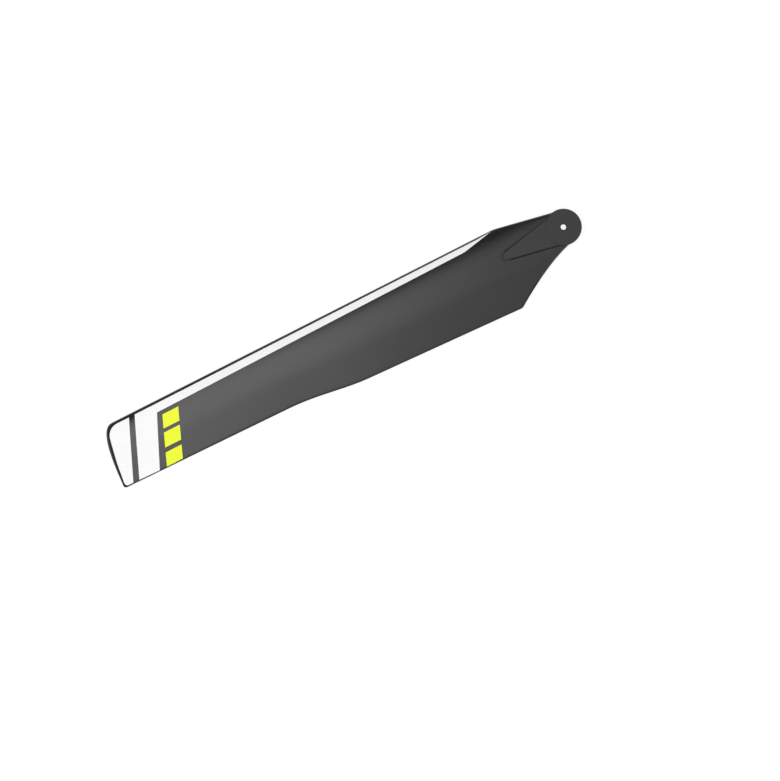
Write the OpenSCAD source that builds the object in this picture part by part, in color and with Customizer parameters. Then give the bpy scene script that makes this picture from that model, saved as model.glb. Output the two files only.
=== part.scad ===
// Main rotor blade of a small model helicopter, moulded in one piece.
// The origin is the middle of the bolt hole, halfway through the root. X runs out to the
// tip, Z is the bolt's axis and the leading edge lies toward -Y. Sizes are in millimetres.

/* [Root] */
// Diameter of the round root that sits between the jaws of the blade grip
root_d = 9; // [8:0.1:11]
// Thickness of the root across the jaws
root_t = 3.5; // [3.3:0.1:5]
// Diameter of the hole for the blade bolt
bolt_hole_d = 1.4; // [1.2:0.1:2.5]
// Chamfer at both ends of the bolt hole
hole_chamfer = 0.25; // [0.1:0.05:0.4]
// Radius of the rounding round both rims of the root
rim_r = 0.15; // [0.1:0.05:0.4]

/* [Tongue] */
// Distance from the bolt hole to the outer end of the flat tongue on each face
tongue_reach = 16.7; // [13:0.1:22]
// Radius of the tongue's rounded outer end
tongue_end_r = 0.95; // [0.8:0.05:2]
// How far the tongue's faces lie below the faces of the root
tongue_drop = 0.15; // [0.1:0.05:0.4]
// Distance that the tongue's sides keep inside the rim of the root
tongue_inset = 0.6; // [0.2:0.05:0.8]
// Bevel along the edges of the tongue's faces
tongue_bevel = 0.15; // [0.1:0.05:0.4]
// Width of the fine groove that runs round the foot of the tongue
groove_w = 0.4; // [0.2:0.05:0.5]
// Depth of that groove below the skin of the blade
groove_depth = 0.1; // [0.05:0.05:0.4]

/* [Planform] */
// Distance from the bolt hole to the furthest point of the tip
blade_length = 125; // [112:1:180]
// Distance of the leading edge ahead of the bolt hole
lead_offset = 7.3; // [6.5:0.05:8.5]
// Station at which the leading edge becomes straight
lead_corner = 15.7; // [13:0.1:20]
// Length over which the leading corner is rounded, on each side of it
lead_soft = 1; // [0.5:0.1:3]
// How much further out the trailing corner lies than the leading one
corner_stagger = 2.1; // [1:0.1:5]
// Length over which the trailing corner is rounded, on each side of it
trail_soft = 0.4; // [0.3:0.1:2]
// Chord at the trailing corner, where the blade is widest
widest_chord = 20.5; // [18:0.05:24]
// Station at which the trailing edge begins to step forward
step_start = 59.5; // [45:0.5:65]
// Length of the step in the trailing edge
step_length = 20.5; // [14:0.5:26]
// Chord where the step begins
inner_chord = 18.8; // [17.5:0.05:20]
// Chord where the step ends
outer_chord = 16.55; // [15:0.05:17.4]
// Chord at the tip
tip_chord = 15.8; // [13:0.05:16.5]

/* [Tip] */
// How far the rounding of the leading corner cuts back along the leading edge
tip_cutback = 4; // [2:0.25:6]
// How far the tip rakes back from its trailing corner to its leading corner
tip_rake = 0.75; // [0:0.05:2]
// Radius of the tip's trailing corner
tip_corner_r = 0.7; // [0.3:0.05:1]

/* [Section] */
// Thickness of the aerofoil where the blade is widest
section_t = 2.8; // [2:0.05:2.9]
// Thickness of the aerofoil at the tip
tip_t = 2; // [1.2:0.05:2.2]
// Thickness of the trailing edge
edge_t = 0.4; // [0.3:0.05:0.6]
// Length over which the trailing edge is rounded off
edge_soft = 0.15; // [0.1:0.05:0.6]
// Length over which the slanted leading edge is rounded off beside the bolt
nose_soft = 0.6; // [0.3:0.1:2.5]

/* [Hidden] */
$fn = 96;
// The bolt hole's cutters reach this far past the root's faces
overlap = 0.5;
// The blade's body begins inside the round root, this far within its rim
tuck = 0.2;
// The cutter of the groove runs on past both borders of its sloping wall by this much
groove_tuck = 0.1;
// The hollow curve out of the root bends at these shares of its run and of its drop
hollow_run = 0.4;
hollow_drop = 0.2;
// Share of the chord behind which the section runs straight to the trailing edge
tail_share = 0.55;
// Powers that shape the rounding of the tip's leading corner
tip_front_power = 3;
tip_round_power = 0.37;
// Steps along half a section, round the tongue's end, along its sides and round a rim
section_steps = 24;
tongue_steps = 10;
tongue_side_steps = 12;
rim_steps = 4;
// The tip's rounded edge turns through this angle and then ends in a narrow flat
tip_turn = 84;
tip_turn_steps = 6;

root_r = root_d/2;
root_half = root_t/2;
root_y = root_r - tuck;
trail_corner = lead_corner + corner_stagger;
corner_y = widest_chord - lead_offset;
step_end = step_start + step_length;
tip_edge = tip_t/2;
// Stations inside this one are flat, and those beyond it bend to follow the tip's outline
tip_start = blade_length - 2.5*tip_cutback;

function mix(a, b, s) = a + (b - a)*s;
function unit(s) = min(1, max(0, s));
function ease(s) = s*s*(3 - 2*s);
function along(x, xa, ya, xb, yb) = mix(ya, yb, (x - xa)/(xb - xa));
function spread(a, b, n) = [for (i = [0:n - 1]) mix(a, b, i/n)];
function flipped(list) = [for (i = [len(list) - 1:-1:0]) list[i]];
function sorted(list) = len(list) < 2 ? list : let (p = list[0]) concat(
    sorted([for (x = list) if (x < p) x]), [p], sorted([for (x = list) if (x > p) x]));

// What a corner at a station loses when its change of slope is spread over a length
function softened(x, at, soft, turn) = turn*max(0, soft - abs(x - at))^2/(4*soft);

// Leading edge, as a distance ahead of the bolt's axis
lead_slope = (lead_offset - root_y)/lead_corner;
function lead_line(x) = min(lead_offset, root_y + lead_slope*x);
function lead(x) = lead_line(x) + softened(x, lead_corner, lead_soft, -lead_slope);

// Trailing edge, as a distance behind the bolt's axis: a hollow curve out of the root,
// a straight, an eased step forward and a second straight
bend_x = hollow_run*trail_corner;
bend_y = mix(root_y, corner_y, hollow_drop);
bow = trail_corner - 2*bend_x;
function hollow_share(x) = (sqrt(bend_x^2 + bow*x) - bend_x)/bow;
function hollow(s) = (1 - s)^2*root_y + 2*s*(1 - s)*bend_y + s^2*corner_y;
function inner_line(x) = along(x, trail_corner, widest_chord, step_start, inner_chord) - lead_offset;
function outer_line(x) = along(x, step_end, outer_chord, blade_length, tip_chord) - lead_offset;
function stepped(x) = mix(inner_line(x), outer_line(x), ease(unit((x - step_start)/step_length)));
function trail_line(x) = x < trail_corner ? hollow(hollow_share(x)) : stepped(x);
inner_slope = (inner_chord - widest_chord)/(step_start - trail_corner);
trail_turn = inner_slope - (corner_y - bend_y)/(trail_corner - bend_x);
function trail(x) = trail_line(x) + softened(x, trail_corner, trail_soft, trail_turn);

// Outline of the tip: the station of its edge at a share v of the chord, counted from the
// trailing edge, with a raked end, a long rounding in front and a small radius behind
function round_cut(e, r) = e < r ? r - sqrt(r^2 - (r - e)^2) : 0;
function front_cut(v) = tip_rake*v + tip_cutback*(1 - (1 - v^tip_front_power)^tip_round_power);
function tip_x(v) = blade_length - front_cut(v) - round_cut(v*tip_chord, tip_corner_r);

// Half thickness of the symmetrical aerofoil at a share w of its own chord: a hump in front and
// a straight tail. The slanted leading edge and the hollow curve out of the root only cut the
// aerofoil off, so there its own chord is a whole one, between lines that run straight on.
function thick_at(x) = along(max(x, trail_corner), trail_corner, section_t, blade_length, tip_t);
function hump(w) = 0.2969*sqrt(w) - 0.126*w - 0.3516*w^2 + 0.2843*w^3 - 0.1036*w^4;
function front_at(w, x) = 5*thick_at(x)*hump(w) + edge_t/2*w^2;
function tail_at(w, x) = along(w, tail_share, front_at(tail_share, x), 1, edge_t/2);
function section_at(w, x) = w < tail_share ? front_at(w, x) : tail_at(w, x);
function whole_trail(x) = x < step_start ? inner_line(x) : trail(x);
function whole_share(x, y) = unit((y + lead_offset)/(whole_trail(x) + lead_offset));
function whole_half_t(x, y) = section_at(whole_share(x, y), x);

// What is left of the thickness at a distance e from an edge that is rounded over a length
function rounded(e, length) = length > 0 ? sqrt(1 - (1 - unit(e/length))^2) : 1;
function nose_length(x) = along(lead(x), lead_offset, 0, root_y, nose_soft);
function nose_left(x, y) = rounded(y + lead(x), nose_length(x));
function edge_left(x, y) = rounded(trail(x) - y, edge_soft);
function half_t(x, y) = nose_left(x, y)*edge_left(x, y)*whole_half_t(x, y);

// A ring of points round one section: over the top from the nose to the trailing edge and
// back underneath, at shares u of the chord. The station may differ from point to point, and
// squash thins the ring.
shares = [for (i = [0:section_steps]) (1 - cos(180*i/section_steps))/2];
function level(x) = [for (u = shares) x];
function toward_tip(w, back) = [for (u = shares) mix(tip_start, tip_x(1 - u) - back, w)];
function skin_point(u, x, squash) = let (y = mix(-lead(x), trail(x), u)) [x, y, squash*half_t(x, y)];
function ring(xs, squash = 1) = concat(
    [for (i = [0:section_steps]) skin_point(shares[i], xs[i], squash)],
    [for (i = [section_steps - 1:-1:1]) skin_point(shares[i], xs[i], -squash)]);

stations = concat(
    spread(0, lead_corner - lead_soft, 12),
    spread(lead_corner - lead_soft, lead_corner + lead_soft, 6),
    spread(trail_corner - trail_soft, trail_corner + trail_soft, 6),
    spread(trail_corner + trail_soft, step_start, 6),
    spread(step_start, step_end, 10),
    spread(step_end, tip_start, 5));
blade_rings = concat(
    [for (x = sorted(stations)) ring(level(x))],
    [for (w = spread(0, 1, 5)) ring(toward_tip(w, tip_edge))],
    [for (i = [0:tip_turn_steps]) let (a = tip_turn*i/tip_turn_steps)
        ring(toward_tip(1, tip_edge*(1 - sin(a))), cos(a))]);

// Outline of the tongue: sides tangent to a circle round the bolt and to the rounded outer
// end, all drawn in by pull
tongue_half = root_half - tongue_drop;
tongue_root_r = root_r - tongue_inset;
tongue_end_x = tongue_reach - tongue_end_r;
tongue_angle = asin((tongue_root_r - tongue_end_r)/tongue_end_x);
function tongue_side(side, pull) = let (square = [sin(tongue_angle), side*cos(tongue_angle)]) concat(
    [for (i = [1:tongue_steps - 1]) let (a = i/tongue_steps*(90 - tongue_angle), r = tongue_end_r - pull)
        [tongue_end_x + r*cos(a), side*r*sin(a)]],
    [for (i = [0:tongue_side_steps]) let (s = i/tongue_side_steps)
        mix([tongue_end_x, 0], [0, 0], s) + (mix(tongue_end_r, tongue_root_r, s) - pull)*square]);
function tongue_outline(pull) = concat(
    [[tongue_reach - pull, 0]], tongue_side(-1, pull), [[0, 0]], flipped(tongue_side(1, pull)));
function tongue_ring(z, pull) = [for (p = tongue_outline(pull)) [p.x, p.y, z]];
tongue_rings = [
    tongue_ring(-tongue_half, tongue_bevel),
    tongue_ring(tongue_bevel - tongue_half, 0),
    tongue_ring(tongue_half - tongue_bevel, 0),
    tongue_ring(tongue_half, tongue_bevel)];

// The groove's cutter: a wall that slopes from the skin down to the tongue's foot, then upright
function groove_fall(pull) = groove_depth*(1 + pull/groove_w);
function groove_ring(pull) = [for (p = tongue_outline(pull))
    [p.x, p.y, whole_half_t(p.x, p.y) - groove_fall(pull)]];
groove_rings = [
    groove_ring(groove_tuck),
    groove_ring(-groove_w - groove_tuck),
    tongue_ring(root_half, -groove_w - groove_tuck)];

// Skin over a row of rings of equal length. Strips across the first and the last ring close it.
module skin(rings) {
    n = len(rings[0]);
    last = (len(rings) - 1)*n;
    sides = [for (k = [0:len(rings) - 2], i = [0:n - 1]) let (a = k*n + i, b = k*n + (i + 1) % n)
        each [[a, b, b + n], [a, b + n, a + n]]];
    strips = concat(
        [[0, 1, n - 1], [n/2 - 1, n/2, n/2 + 1]],
        [for (i = [1:n/2 - 2]) each [[i, i + 1, n - i - 1], [i, n - i - 1, n - i]]]);
    near = [for (f = strips) flipped(f)];
    far = [for (f = strips) [for (i = f) last + i]];
    polyhedron([for (r = rings) each r], concat(sides, near, far), convexity = 6);
}

module round_root() {
    rim = [for (i = [0:rim_steps]) let (a = 90*i/rim_steps)
        [root_r - rim_r*(1 - cos(a)), root_half - rim_r*(1 - sin(a))]];
    lower_rim = [for (p = flipped(rim)) [p.x, -p.y]];
    rotate_extrude() polygon(concat([[0, -root_half]], lower_rim, rim, [[0, root_half]]));
}

module bolt_hole() {
    cylinder(d = bolt_hole_d, h = root_t + 2*overlap, center = true);
    mouth_d = bolt_hole_d + 2*(hole_chamfer + overlap);
    for (turn = [0, 180]) rotate([turn, 0, 0]) translate([0, 0, root_half - hole_chamfer])
        cylinder(d1 = bolt_hole_d, d2 = mouth_d, h = hole_chamfer + overlap);
}

module blade() {
    color([0.07, 0.07, 0.07]) difference() {
        union() {
            difference() {
                skin(blade_rings);
                for (face = [0, 1]) mirror([0, 0, face]) skin(groove_rings);
            }
            skin(tongue_rings);
            round_root();
        }
        bolt_hole();
    }
}

blade();
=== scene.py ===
# %% [markdown]
# # A printed rotor blade for a small model helicopter
#
# The blade is one plastic moulding. A round root takes the blade bolt, a flat tongue
# carries the root into the wing, and the wing runs out to a raked, rounded tip. White
# and yellow ink is printed on its upper face.
#
# The imported part is the frame of this scene: it says where everything is and how big it
# is. The box of the bare part is kept here.

import math

import bmesh
import bpy
from mathutils import Matrix, Vector


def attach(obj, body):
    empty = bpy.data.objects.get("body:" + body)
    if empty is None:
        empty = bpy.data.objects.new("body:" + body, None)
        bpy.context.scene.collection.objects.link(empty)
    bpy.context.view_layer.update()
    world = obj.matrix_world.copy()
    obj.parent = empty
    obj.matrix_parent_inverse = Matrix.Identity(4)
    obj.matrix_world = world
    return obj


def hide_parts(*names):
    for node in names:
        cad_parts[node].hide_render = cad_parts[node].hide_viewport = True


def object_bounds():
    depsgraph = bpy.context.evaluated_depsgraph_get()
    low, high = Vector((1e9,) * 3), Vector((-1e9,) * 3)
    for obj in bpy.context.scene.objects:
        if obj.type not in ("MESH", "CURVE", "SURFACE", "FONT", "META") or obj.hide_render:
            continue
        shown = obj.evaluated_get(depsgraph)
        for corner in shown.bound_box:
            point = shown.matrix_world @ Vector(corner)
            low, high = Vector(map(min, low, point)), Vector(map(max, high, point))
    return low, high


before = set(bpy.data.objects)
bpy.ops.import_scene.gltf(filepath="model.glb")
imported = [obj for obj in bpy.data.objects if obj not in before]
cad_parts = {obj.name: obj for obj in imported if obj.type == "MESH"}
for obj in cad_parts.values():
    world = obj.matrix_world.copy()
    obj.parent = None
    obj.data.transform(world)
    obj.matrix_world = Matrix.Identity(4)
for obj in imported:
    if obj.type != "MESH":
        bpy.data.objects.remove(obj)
cad_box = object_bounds()

MM = 0.001
blade_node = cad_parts["blade"]
span = (cad_box[1].x - cad_box[0].x) / MM
chord = (cad_box[1].y - cad_box[0].y) / MM
print(f"the bare blade is {span:.1f} mm long and {chord:.1f} mm wide")

# %% [markdown]
# ## The camera
#
# The blade is pictured from straight above, with its root at the upper right. Three
# readings of the picture fix such a camera: the pixel of the bolt hole, the slope of the
# span and the scale. The bolt hole is the origin of the part, so the rest is a turn and
# a shift. A short lens would look slantwise into the bolt hole, which is seen straight
# through in the picture, so the camera stands far off with a long one.

# %% Look straight down on the blade
picture_size = (780, 781)
hole_pixel = (563.3, 227.2)
span_slope = math.radians(26.89)
pixels_per_mm = 4.076
lens = 240.0
sensor = 36.0

picture_right = Vector((-math.cos(span_slope), math.sin(span_slope), 0))
picture_up = Vector((-math.sin(span_slope), -math.cos(span_slope), 0))
right_of_hole = (picture_size[0] / 2 - hole_pixel[0]) / pixels_per_mm
below_hole = (picture_size[1] / 2 - hole_pixel[1]) / pixels_per_mm
picture_middle = (picture_right * right_of_hole - picture_up * below_hole) * MM
camera_height = picture_size[0] * lens / sensor / pixels_per_mm * MM

camera = bpy.data.objects.new("camera", bpy.data.cameras.new("camera"))
camera.data.lens = lens
camera.data.sensor_width = sensor
camera.data.sensor_fit = "HORIZONTAL"
facing = Matrix((picture_right, picture_up, (0, 0, 1))).transposed().to_4x4()
camera.matrix_world = Matrix.Translation(picture_middle + Vector((0, 0, camera_height))) @ facing
bpy.context.collection.objects.link(camera)
bpy.context.scene.camera = camera
print(f"the camera is {camera_height / MM:.0f} mm above the blade")

# %% [markdown]
# ## A small language for shaders
#
# A material is a tree of nodes. Adding each Math node by hand hides what is worked out,
# so this class wraps a socket: adding, subtracting or multiplying such values in Python
# adds the Math node to the tree. Every other node comes from its `node` method, which
# takes the type, the settings and then what goes into the sockets.

# %% Wrap a socket so that it can be reckoned with
class Value:
    """A value in a node tree; arithmetic on it adds Math nodes to that tree."""

    def __init__(self, tree, socket=None):
        self.tree = tree
        self.socket = socket

    def node(self, kind, settings=None, sockets=None, output=0):
        """Adds a node: its type, its settings, then the values or links of its sockets."""
        made = self.tree.nodes.new(kind)
        for name, setting in (settings or {}).items():
            setattr(made, name, setting)
        for name, value in (sockets or {}).items():
            if isinstance(value, Value):
                self.tree.links.new(value.socket, made.inputs[name])
            else:
                made.inputs[name].default_value = value
        return Value(self.tree, made.outputs[output] if made.outputs else None)

    def math(self, operation, first, second):
        return self.node("ShaderNodeMath", {"operation": operation}, {0: first, 1: second})

    def __add__(self, other):
        return self.math("ADD", self, other)

    def __radd__(self, other):
        return self.math("ADD", other, self)

    def __sub__(self, other):
        return self.math("SUBTRACT", self, other)

    def __rsub__(self, other):
        return self.math("SUBTRACT", other, self)

    def __mul__(self, other):
        return self.math("MULTIPLY", self, other)

    def __rmul__(self, other):
        return self.math("MULTIPLY", other, self)

    def step(self, low, high):
        """Rises smoothly from 0 at low to 1 at high."""
        return self.node(
            "ShaderNodeMapRange",
            {"interpolation_type": "SMOOTHSTEP"},
            {"Value": self, "From Min": low, "From Max": high},
        )

    def blend(self, first, second):
        """Mixes two colours by this value."""
        return self.node(
            "ShaderNodeMix", {"data_type": "RGBA"}, {0: self, 6: first, 7: second}, output=2
        )


def new_finish(name):
    """An empty material, and a handle on its node tree."""
    material = bpy.data.materials.new(name)
    material.use_nodes = True
    material.node_tree.nodes.clear()
    return material, Value(material.node_tree)


def grey(tone):
    """A colour without hue, from black at 0 to white at 1."""
    return (tone, tone, tone, 1)


print("values can be added, subtracted and multiplied in node trees")

# %% [markdown]
# ## The floor
#
# The blade lies on a plain white sheet, on the underside of its root. A white sheet under
# even light comes out a little grey, so most of what the camera sees of it is a glow of
# its own, and the rest is real light on it, which keeps the soft shadow of the blade.
# Seen from below it is clear, so that it never hides the underside.

# %% Lay the floor
floor_reach = 3.0
floor_gap = 0.02 * MM
floor_glow = 0.88
floor_lit_share = 0.16
paper_tone = 0.8

floor_mesh = bmesh.new()
bmesh.ops.create_grid(floor_mesh, x_segments=1, y_segments=1, size=floor_reach)
bmesh.ops.translate(floor_mesh, verts=floor_mesh.verts, vec=(0, 0, cad_box[0].z - floor_gap))
floor = bpy.data.objects.new("floor", bpy.data.meshes.new("floor"))
floor_mesh.to_mesh(floor.data)
floor_mesh.free()
bpy.context.collection.objects.link(floor)


def seen_directly(tree):
    """1 for rays that show a thing: to the camera, in gloss or through glass."""
    camera_ray = tree.node("ShaderNodeLightPath", output="Is Camera Ray")
    glossy_ray = tree.node("ShaderNodeLightPath", output="Is Glossy Ray")
    clear_ray = tree.node("ShaderNodeLightPath", output="Is Transmission Ray")
    return camera_ray + glossy_ray + clear_ray


def white_sheet():
    material, tree = new_finish("white_sheet")
    paper = tree.node("ShaderNodeBsdfDiffuse", sockets={"Color": grey(paper_tone)})
    dimmed = tree.node("ShaderNodeBsdfDiffuse", sockets={"Color": grey(floor_lit_share)})
    glow = tree.node("ShaderNodeEmission", sockets={"Strength": floor_glow})
    shown = tree.node("ShaderNodeAddShader", sockets={0: dimmed, 1: glow})
    upper = tree.node("ShaderNodeMixShader", sockets={0: seen_directly(tree), 1: paper, 2: shown})
    clear = tree.node("ShaderNodeBsdfTransparent")
    underside = tree.node("ShaderNodeNewGeometry", output="Backfacing")
    whole = tree.node("ShaderNodeMixShader", sockets={0: underside, 1: upper, 2: clear})
    tree.node("ShaderNodeOutputMaterial", sockets={"Surface": whole})
    return material


floor.data.materials.append(white_sheet())
print(f"the floor lies at {floor.data.vertices[0].co.z / MM:.2f} mm")

# %% [markdown]
# ## The soft boxes
#
# Satin plastic mirrors what hangs over it, so the shading of the dark wing is mostly the
# blurred mirror image of the lamps. The wing is palest over its outer half and falls off
# to the root and over the nose. One round soft box over the outer wing gives the first,
# and a much weaker one near the root keeps the root from going black.

# %% Hang the soft boxes
box_height = 0.30


def hang_box(name, right, up, across, watts):
    """A round soft box that faces down, placed from the middle of the picture, in metres."""
    box = bpy.data.objects.new(name, bpy.data.lights.new(name, "AREA"))
    box.data.shape = "DISK"
    box.data.size = across
    box.data.energy = watts
    box.location = picture_middle + picture_right * right + picture_up * up
    box.location.z = box_height
    bpy.context.collection.objects.link(box)
    return box


outer_box = hang_box("outer_box", right=-0.092, up=-0.025, across=0.217, watts=0.405)
root_box = hang_box("root_box", right=0.073, up=0.026, across=0.235, watts=0.121)
print(f"the soft boxes hang {(outer_box.location - root_box.location).length / MM:.0f} mm apart")

# %% [markdown]
# ## The room
#
# The room gives the rest of the light. The camera sees it as a white backdrop. In the
# plastic it is mirrored white near the horizon and nearly black overhead, so that the
# images of the boxes stand out. On everything else it falls as one even light. A world
# tells these apart by the kind of ray that reaches it.

# %% Light the room
room_overhead = 0.04
room_fill = 0.61
horizon_rise = 0.1
overhead_rise = 0.6


def studio_room():
    world = bpy.data.worlds.new("studio_room")
    world.use_nodes = True
    world.node_tree.nodes.clear()
    tree = Value(world.node_tree)
    direction = tree.node("ShaderNodeTexCoord", output="Generated")
    rise = tree.node("ShaderNodeSeparateXYZ", sockets={"Vector": direction}, output="Z")
    mirrored = rise.step(horizon_rise, overhead_rise).blend(grey(1), grey(room_overhead))
    indoors = seen_directly(tree).blend(grey(room_fill), mirrored)
    camera_ray = tree.node("ShaderNodeLightPath", output="Is Camera Ray")
    colour = camera_ray.blend(indoors, grey(1))
    light = tree.node("ShaderNodeBackground", sockets={"Color": colour})
    tree.node("ShaderNodeOutputWorld", sockets={"Surface": light})
    return world


bpy.context.scene.world = studio_room()
bpy.context.scene.view_settings.view_transform = "Standard"
print("the room is lit")

# %% [markdown]
# ## The moulding
#
# The wing, the tongue and the root already have their true form in the part, so the
# dressed blade is a copy of that mesh. The part's mesh is loose triangles. They could be
# left loose and shaded flat, but a moulded skin is smooth, so the copy's triangles are
# merged into one skin.

# %% Copy the blade as one skin
merge_distance = 0.001 * MM


def merged_blade():
    mesh = bmesh.new()
    mesh.from_mesh(blade_node.data)
    bmesh.ops.remove_doubles(mesh, verts=mesh.verts, dist=merge_distance)
    return mesh


moulding_mesh = merged_blade()
print(f"the skin has {len(moulding_mesh.faces)} faces and {len(moulding_mesh.verts)} corners")

# %% [markdown]
# ## Its edges
#
# The skin is shaded smooth, and only real edges are kept sharp: those of the root, the
# tongue, the groove along its sides and the trailing edge. An edge is told by how far the
# skin turns over it. The groove is shallow, so beside the tongue a smaller turn already
# counts. The nose of the wing turns sharply too, but it is round on the blade.

# %% Keep the real edges sharp
sharp_angle = math.radians(25)
groove_angle = math.radians(10)
root_radius = 4.6 * MM
tongue_root_radius = 3.9 * MM
tongue_end_radius = 0.95 * MM
tongue_end = 15.75 * MM
groove_reach = 0.42 * MM


def past_tongue(point):
    """How far a point is outside the tongue: two circles and the lines that touch both."""
    lean = math.asin((tongue_root_radius - tongue_end_radius) / tongue_end)
    beside = abs(point.y)
    if (point.x - tongue_end) * math.cos(lean) > beside * math.sin(lean):
        return math.hypot(point.x - tongue_end, beside) - tongue_end_radius
    return point.x * math.sin(lean) + beside * math.cos(lean) - tongue_root_radius


def is_real_edge(edge):
    """Whether an edge is sharp on the blade, and not a step of a round skin."""
    turn = edge.calc_face_angle(0)
    middle = (edge.verts[0].co + edge.verts[1].co) / 2
    if middle.xy.length < root_radius:
        return turn > sharp_angle
    if past_tongue(middle) < groove_reach:
        return turn > (groove_angle if middle.x < tongue_end else sharp_angle)
    return middle.y > 0 and turn > sharp_angle


for face in moulding_mesh.faces:
    face.smooth = True
for edge in moulding_mesh.edges:
    edge.smooth = not is_real_edge(edge)
sharp_count = sum(not edge.smooth for edge in moulding_mesh.edges)
print(f"{sharp_count} of {len(moulding_mesh.edges)} edges are kept sharp")

# %% [markdown]
# ## Its normals
#
# A smooth vertex takes its normal from all the faces round it, which would bend the light
# on a level face beside a small rounding. The Weighted Normal modifier can rank faces
# instead: of the faces round a vertex, only those of the highest rank count. The level
# faces of the root and the tongue rank highest. The wall of the groove ranks lowest, so
# that round the tongue's end it starts softly from the skin. The ranks are whole numbers
# on the faces, in a layer under the name that the modifier looks for.

# %% Rank the faces and set up the moulding
level_height = 1.5 * MM
level_upright = 0.9999
rank_layer = "__mod_weightednormals_faceweight"
high_rank = 16384
middle_rank = 0
low_rank = -16384


def rank(face):
    """High for the level faces of the root and the tongue, low for the wall of the groove."""
    middle = face.calc_center_median()
    if abs(middle.z) > level_height and abs(face.normal.z) > level_upright:
        return high_rank
    reach = max(past_tongue(vert.co) for vert in face.verts)
    in_groove = middle.xy.length > root_radius and groove_reach / 2 < reach < groove_reach
    return low_rank if in_groove else middle_rank


def piece_from(name, mesh):
    """Turns a bmesh into a piece in the scene, hung from the empty of the root body."""
    piece = bpy.data.objects.new(name, bpy.data.meshes.new(name))
    mesh.to_mesh(piece.data)
    mesh.free()
    bpy.context.collection.objects.link(piece)
    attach(piece, "root")
    return piece


ranks = moulding_mesh.faces.layers.int.new(rank_layer)
for face in moulding_mesh.faces:
    face[ranks] = rank(face)
moulding = piece_from("moulding", moulding_mesh)
ranked_normals = moulding.modifiers.new("ranked_normals", "WEIGHTED_NORMAL")
ranked_normals.mode = "CORNER_ANGLE"
ranked_normals.keep_sharp = True
ranked_normals.use_face_influence = True
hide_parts("blade")
print(f"the moulding has {len(moulding.data.polygons)} faces")

# %% [markdown]
# ## The plastic
#
# The blade is moulded in dark, fibre-filled plastic with a satin skin. Close up such a
# skin has a fine grain, and the fibres leave faint streaks along the span, where the melt
# ran from the root to the tip. The two halves of the mould leave a thin paler line
# around the edge. All of it is worked out from the place on the part, in metres. Noise
# gives the grain and the streaks. Most of its values lie around a half, so only the part
# between a low and a high value is spread over the colours.

# %% Mix the plastic
plastic_dark = (0.0118, 0.0118, 0.0121, 1)
plastic_pale = (0.0144, 0.0144, 0.0147, 1)
plastic_seam = (0.030, 0.030, 0.031, 1)
plastic_roughness = 0.29
grain_size = 0.35 * MM
grain_roughness = 0.06
grain_strength = 0.4
grain_depth = 0.02 * MM
streak_length = 14 * MM
streak_width = 0.9 * MM
streak_roughness = 0.03
streak_share = 0.7
seam_half_width = 0.05 * MM
noise_low = 0.3
noise_middle = 0.5
noise_high = 0.7


def noise(tree, place, size, detail):
    """A soft random pattern with features of about this size."""
    sockets = {"Vector": place, "Scale": 1 / size, "Detail": detail}
    return tree.node("ShaderNodeTexNoise", sockets=sockets)


def moulded_plastic():
    material, tree = new_finish("moulded_plastic")
    place = tree.node("ShaderNodeTexCoord", output="Object")
    along = tree.node(
        "ShaderNodeMapping",
        sockets={"Vector": place, "Scale": (streak_width / streak_length, 1, 1)},
    )
    grain = noise(tree, place, grain_size, detail=3)
    streaks = noise(tree, along, streak_width, detail=2)
    height = tree.node("ShaderNodeSeparateXYZ", sockets={"Vector": place}, output="Z")
    off_seam = tree.math("ABSOLUTE", height, 0).step(seam_half_width / 2, seam_half_width)
    mixed = (1 - streak_share) * grain + streak_share * streaks
    body = mixed.step(noise_low, noise_high).blend(plastic_dark, plastic_pale)
    colour = off_seam.blend(plastic_seam, body)
    rough = plastic_roughness + grain_roughness * (grain - noise_middle)
    rough = rough + streak_roughness * (streaks - noise_middle)
    skin = tree.node(
        "ShaderNodeBump",
        sockets={"Strength": grain_strength, "Distance": grain_depth, "Height": grain},
    )
    surface = tree.node(
        "ShaderNodeBsdfPrincipled",
        sockets={"Base Color": colour, "Roughness": rough, "Normal": skin},
    )
    tree.node("ShaderNodeOutputMaterial", sockets={"Surface": surface})
    return material


moulding.data.materials.clear()
moulding.data.materials.append(moulded_plastic())
print("the moulding has its plastic")

# %% [markdown]
# ## The borders of print
#
# A printed field is given as the corners of a convex outline seen from above, in
# millimetres from the bolt hole, each with the radius that rounds it. Each border becomes
# one upright plane, and a round corner is a fan of planes that touch its arc. Two convex
# outlines that overlap make a field with a hollow corner.

# %% Turn an outline into upright planes
corner_planes = 9


def borders(corners):
    """Upright planes (point, outward direction) around corners (x, y, radius), in mm."""
    points = [Vector((x, y, 0)) * MM for x, y, radius in corners]
    middle = sum(points, Vector()) / len(points)
    outward = []
    for start, end in zip(points, points[1:] + points[:1]):
        side = (end - start).normalized().cross(Vector((0, 0, 1)))
        outward.append(side if side.dot(start - middle) > 0 else -side)
    planes = list(zip(points, outward))
    for number, (x, y, radius) in enumerate(corners):
        before, after = outward[number - 1], outward[number]
        inward = -(before + after) / (1 + before.dot(after))
        centre = points[number] + inward * radius * MM
        for count in range(1, corner_planes * (radius > 0)):
            direction = before.slerp(after, count / corner_planes)
            planes.append((centre + direction * radius * MM, direction))
    return planes


def inside(point, planes):
    return all((point - on_plane).dot(outward) < 0 for on_plane, outward in planes)


print("outlines can be turned into planes")

# %% [markdown]
# ## A film of ink
#
# Print on a curved wing follows the skin, so it could be painted by the material. Here
# each field is cut from a copy of the upper skin itself, along the planes of its borders,
# as a cutter drops through a sheet. The cut skin is then lifted by the thickness of the
# ink and given a body, so that the print has real, crisp borders from any distance.

# %% Cut print from the upper skin
ink_height = 0.02 * MM
cut_snap = 0.008 * MM
sliver = 0.01 * MM
upward = 0.05
print_start = 15 * MM


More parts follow.
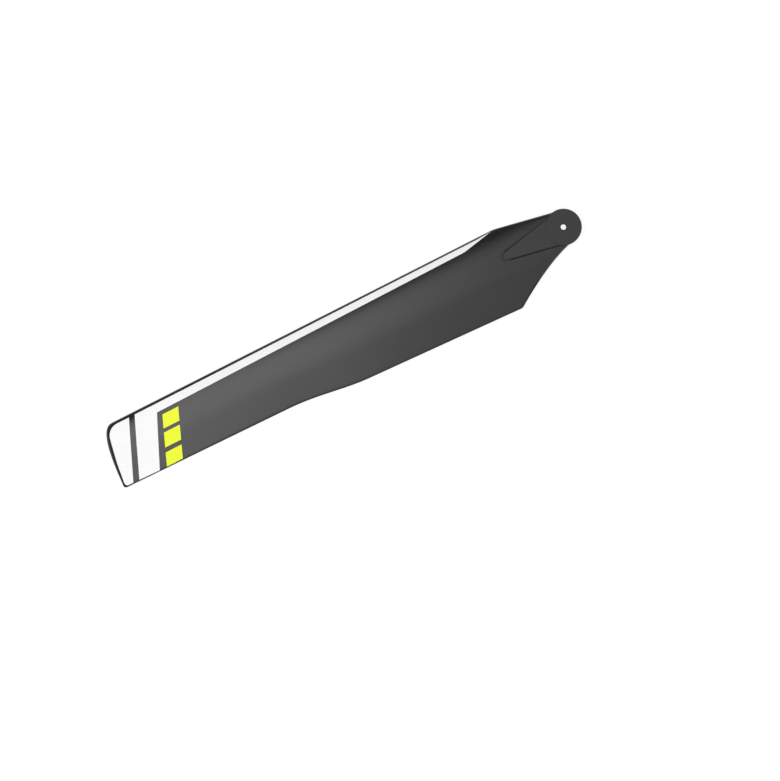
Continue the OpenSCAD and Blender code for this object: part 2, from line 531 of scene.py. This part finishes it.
def printed_piece(name, outlines):
    """A film of ink over every outline, cut from the upper skin."""
    fields = [borders(corners) for corners in outlines]
    film = merged_blade()
    unprinted = [
        face for face in film.faces
        if face.normal.z < upward or face.calc_center_bounds().x < print_start
    ]
    bmesh.ops.delete(film, geom=unprinted, context="FACES")
    for on_plane, outward in sum(fields, []):
        skin = film.verts[:] + film.edges[:] + film.faces[:]
        bmesh.ops.bisect_plane(film, geom=skin, dist=cut_snap, plane_co=on_plane, plane_no=outward)
    bare = [
        face for face in film.faces
        if not any(inside(face.calc_center_median(), planes) for planes in fields)
    ]
    bmesh.ops.delete(film, geom=bare, context="FACES")
    bmesh.ops.dissolve_degenerate(film, dist=sliver, edges=film.edges)
    film.normal_update()
    for vert in film.verts:
        vert.co += vert.normal * ink_height
    bmesh.ops.solidify(film, geom=film.faces[:], thickness=2 * ink_height)
    for face in film.faces:
        face.smooth = True
    for edge in film.edges:
        edge.smooth = edge.calc_face_angle(0) <= sharp_angle
    return piece_from(name, film)


print("print can be cut from the skin")

# %% [markdown]
# ## Where the white goes
#
# A white stripe runs behind the nose, from a point at the leading corner to the tip. At
# the tip it widens to the whole chord, broken by one dark slanted band. The white stops
# short of the edges, so that a thin dark line of bare plastic runs around it. Each slanted
# border is given by how far out it meets the two long borders, the one behind the nose
# and the one along the trailing edge, or hem.

# %% Place the white borders
nose_border = [(20.0, -6.84), (120.0, -6.55)]
hem_border = [(105.0, 8.64), (125.0, 8.14)]
stripe_point = (16.3, -7.08)
stripe_knee = (24.4, -5.46)
knee_radius = 8.0
stripe_rear = (109.5, -4.54)
block_near = (108.51, 115.24)
block_far = (114.56, 120.77)
tip_near = (116.12, 122.41)
tip_far = (122.09, 124.53)
tip_bend = (123.82, 2.37)
tip_front_radius = 3.25
tip_rear_radius = 0.8


def on_line(start, end, x):
    """The point of the line through start and end that lies this far out."""
    return x, start[1] + (end[1] - start[1]) * (x - start[0]) / (end[0] - start[0])


def at_nose(x):
    return on_line(*nose_border, x)


def at_hem(x):
    return on_line(*hem_border, x)


stripe_shoulder = on_line(stripe_point, stripe_knee, nose_border[0][0])
print(f"the stripe starts {stripe_point[0]} mm from the bolt hole")

# %% [markdown]
# ## The white print
#
# The dark line in front of the white is thinnest at the stripe's point, so the point is an
# outline of its own that meets the stripe. The block beside the stripe is one that
# overlaps it, and the field past the dark band, which rounds off with the tip, is the
# fourth.

# %% Print the white fields
point_outline = [(*stripe_point, 0), (*nose_border[0], 0), (*stripe_shoulder, 0)]
stripe_outline = [
    (*nose_border[0], 0),
    (*at_nose(stripe_rear[0]), 0),
    (*stripe_rear, 0),
    (*stripe_knee, knee_radius),
    (*stripe_shoulder, 0),
]
block_outline = [
    (*at_nose(block_near[0]), 0),
    (*at_nose(block_far[0]), 0),
    (*at_hem(block_far[1]), 0),
    (*at_hem(block_near[1]), 0),
]
tip_outline = [
    (*at_nose(tip_near[0]), 0),
    (*at_nose(tip_far[0]), tip_front_radius),
    (*tip_bend, 0),
    (*at_hem(tip_far[1]), tip_rear_radius),
    (*at_hem(tip_near[1]), 0),
]
white_fields = [point_outline, stripe_outline, block_outline, tip_outline]
white_print = printed_piece("white_print", white_fields)
print(f"the white print has {len(white_print.data.polygons)} faces")

# %% [markdown]
# ## The yellow print
#
# Three bright yellow patches stand in a slanted row before the white block. They share
# one slant and one width, so a loop sets them out from the chordwise reach of each.

# %% Print the yellow patches
patch_start = 104.1
patch_width = 4.36
patch_slant = 0.405
patch_reaches = [(-3.50, -0.28), (0.64, 4.05), (5.17, 8.40)]
patch_outlines = []
for front, rear in patch_reaches:
    near_front = patch_start + patch_slant * (front - patch_reaches[0][0])
    near_rear = patch_start + patch_slant * (rear - patch_reaches[0][0])
    patch_outlines.append([
        (near_front, front, 0),
        (near_front + patch_width, front, 0),
        (near_rear + patch_width, rear, 0),
        (near_rear, rear, 0),
    ])
yellow_print = printed_piece("yellow_print", patch_outlines)
print(f"the yellow print has {len(yellow_print.data.polygons)} faces")

# %% [markdown]
# ## The ink
#
# Pad-printed ink dries to a thin satin film. It is never quite even: a soft mottle where
# it lay thicker, and a fine grain that shows through from the plastic. The long stripe
# is painted a little greyer than the fields at the tip, as painted shade for its nose,
# which turns away from the lamps. Both inks are the same film with another pigment, so
# one function mixes them.

# %% Mix the inks
white_pigment = (0.90, 0.90, 0.90)
# painted shade too: the stripe's white is this share as bright towards the root
white_thin_and_shaded_share = 0.93
yellow_pigment = (0.83, 0.93, 0.015)
yellow_thin_share = 0.92
mottle_size = 2.5 * MM
mottle_share = 0.6
speck_size = 0.25 * MM
speck_strength = 0.25
speck_depth = 0.008 * MM
uneven_share = 0.5
# painted shade: the stripe's ink is greyer up to the first distance, and even from the second
painted_shade_until = 98 * MM
painted_shade_gone_from = 103.5 * MM
ink_roughness = 0.5
ink_roughness_swing = 0.1
ink_gloss = 0.3


def printed_ink(name, pigment, thin_and_shaded_share):
    """Ink of a pigment, this share as bright where it lies thinly and, as painted shade, on the
    stripe.
    """
    material, tree = new_finish(name)
    place = tree.node("ShaderNodeTexCoord", output="Object")
    mottle = noise(tree, place, mottle_size, detail=2)
    specks = noise(tree, place, speck_size, detail=2)
    # the greyer ink colour, for thin ink and for the painted shade on the stripe
    thin_and_shaded_ink = tuple(thin_and_shaded_share * part for part in pigment)
    outward = tree.node("ShaderNodeSeparateXYZ", sockets={"Vector": place}, output="X")
    mixed = mottle_share * mottle + (1 - mottle_share) * specks
    uneven = mixed.step(noise_low, noise_high)
    # painted shade: the stripe's ink is greyer towards the root, where the nose turns away from
    # the lamps; it is mixed with the real mottle of thin and thick ink
    clear_of_painted_shade = outward.step(painted_shade_until, painted_shade_gone_from)
    thickness = uneven_share * uneven + (1 - uneven_share) * clear_of_painted_shade
    colour = thickness.blend(thin_and_shaded_ink + (1,), pigment + (1,))
    rough = ink_roughness + ink_roughness_swing * (specks - noise_middle)
    rough = rough + ink_roughness_swing * (mottle - noise_middle)
    skin = tree.node(
        "ShaderNodeBump",
        sockets={"Strength": speck_strength, "Distance": speck_depth, "Height": specks},
    )
    surface = tree.node(
        "ShaderNodeBsdfPrincipled",
        sockets={
            "Base Color": colour,
            "Roughness": rough,
            "Normal": skin,
            "Specular IOR Level": ink_gloss,
        },
    )
    tree.node("ShaderNodeOutputMaterial", sockets={"Surface": surface})
    return material


white_ink = printed_ink("white_ink", white_pigment, white_thin_and_shaded_share)
white_print.data.materials.append(white_ink)
yellow_ink = printed_ink("yellow_ink", yellow_pigment, yellow_thin_share)
yellow_print.data.materials.append(yellow_ink)
print("the inks are white and yellow")
